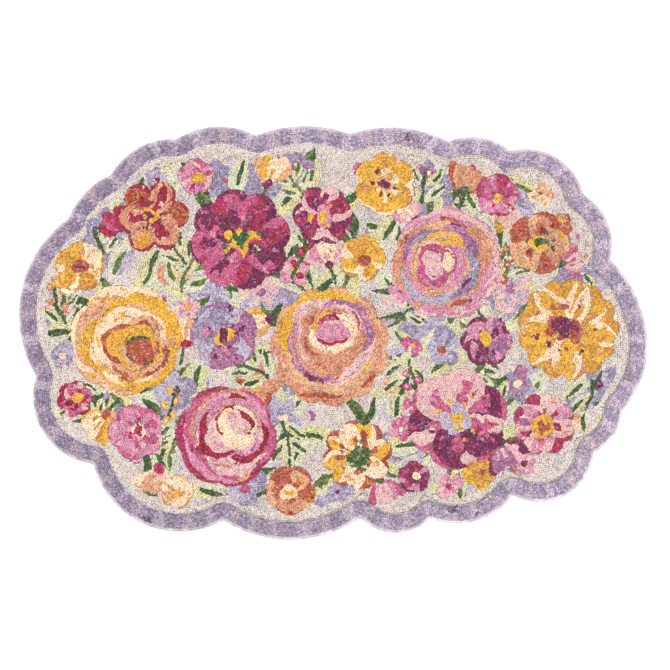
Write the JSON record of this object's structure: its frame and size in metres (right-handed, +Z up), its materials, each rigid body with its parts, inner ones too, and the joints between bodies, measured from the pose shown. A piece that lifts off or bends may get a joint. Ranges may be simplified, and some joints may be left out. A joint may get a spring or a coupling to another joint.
{
  "type": "hooked floral rug",
  "caption": "Scalloped oval hooked-wool rug with a block border, a carved line inside it and a field of raised blooms.",
  "frame": {"origin": "centre of the underside's bounding box, on the floor", "axes": "+X along the rug's length, +Y across it, +Z up out of the pile"},
  "size_m": [0.9094, 0.5978, 0.0109],
  "materials": {
    "wool_pile": "looped wool pile in many muted and bright shades, matt"
  },
  "bodies": {
    "root": {"hooked_rug": "wool_pile"}
  },
  "joints": []
}
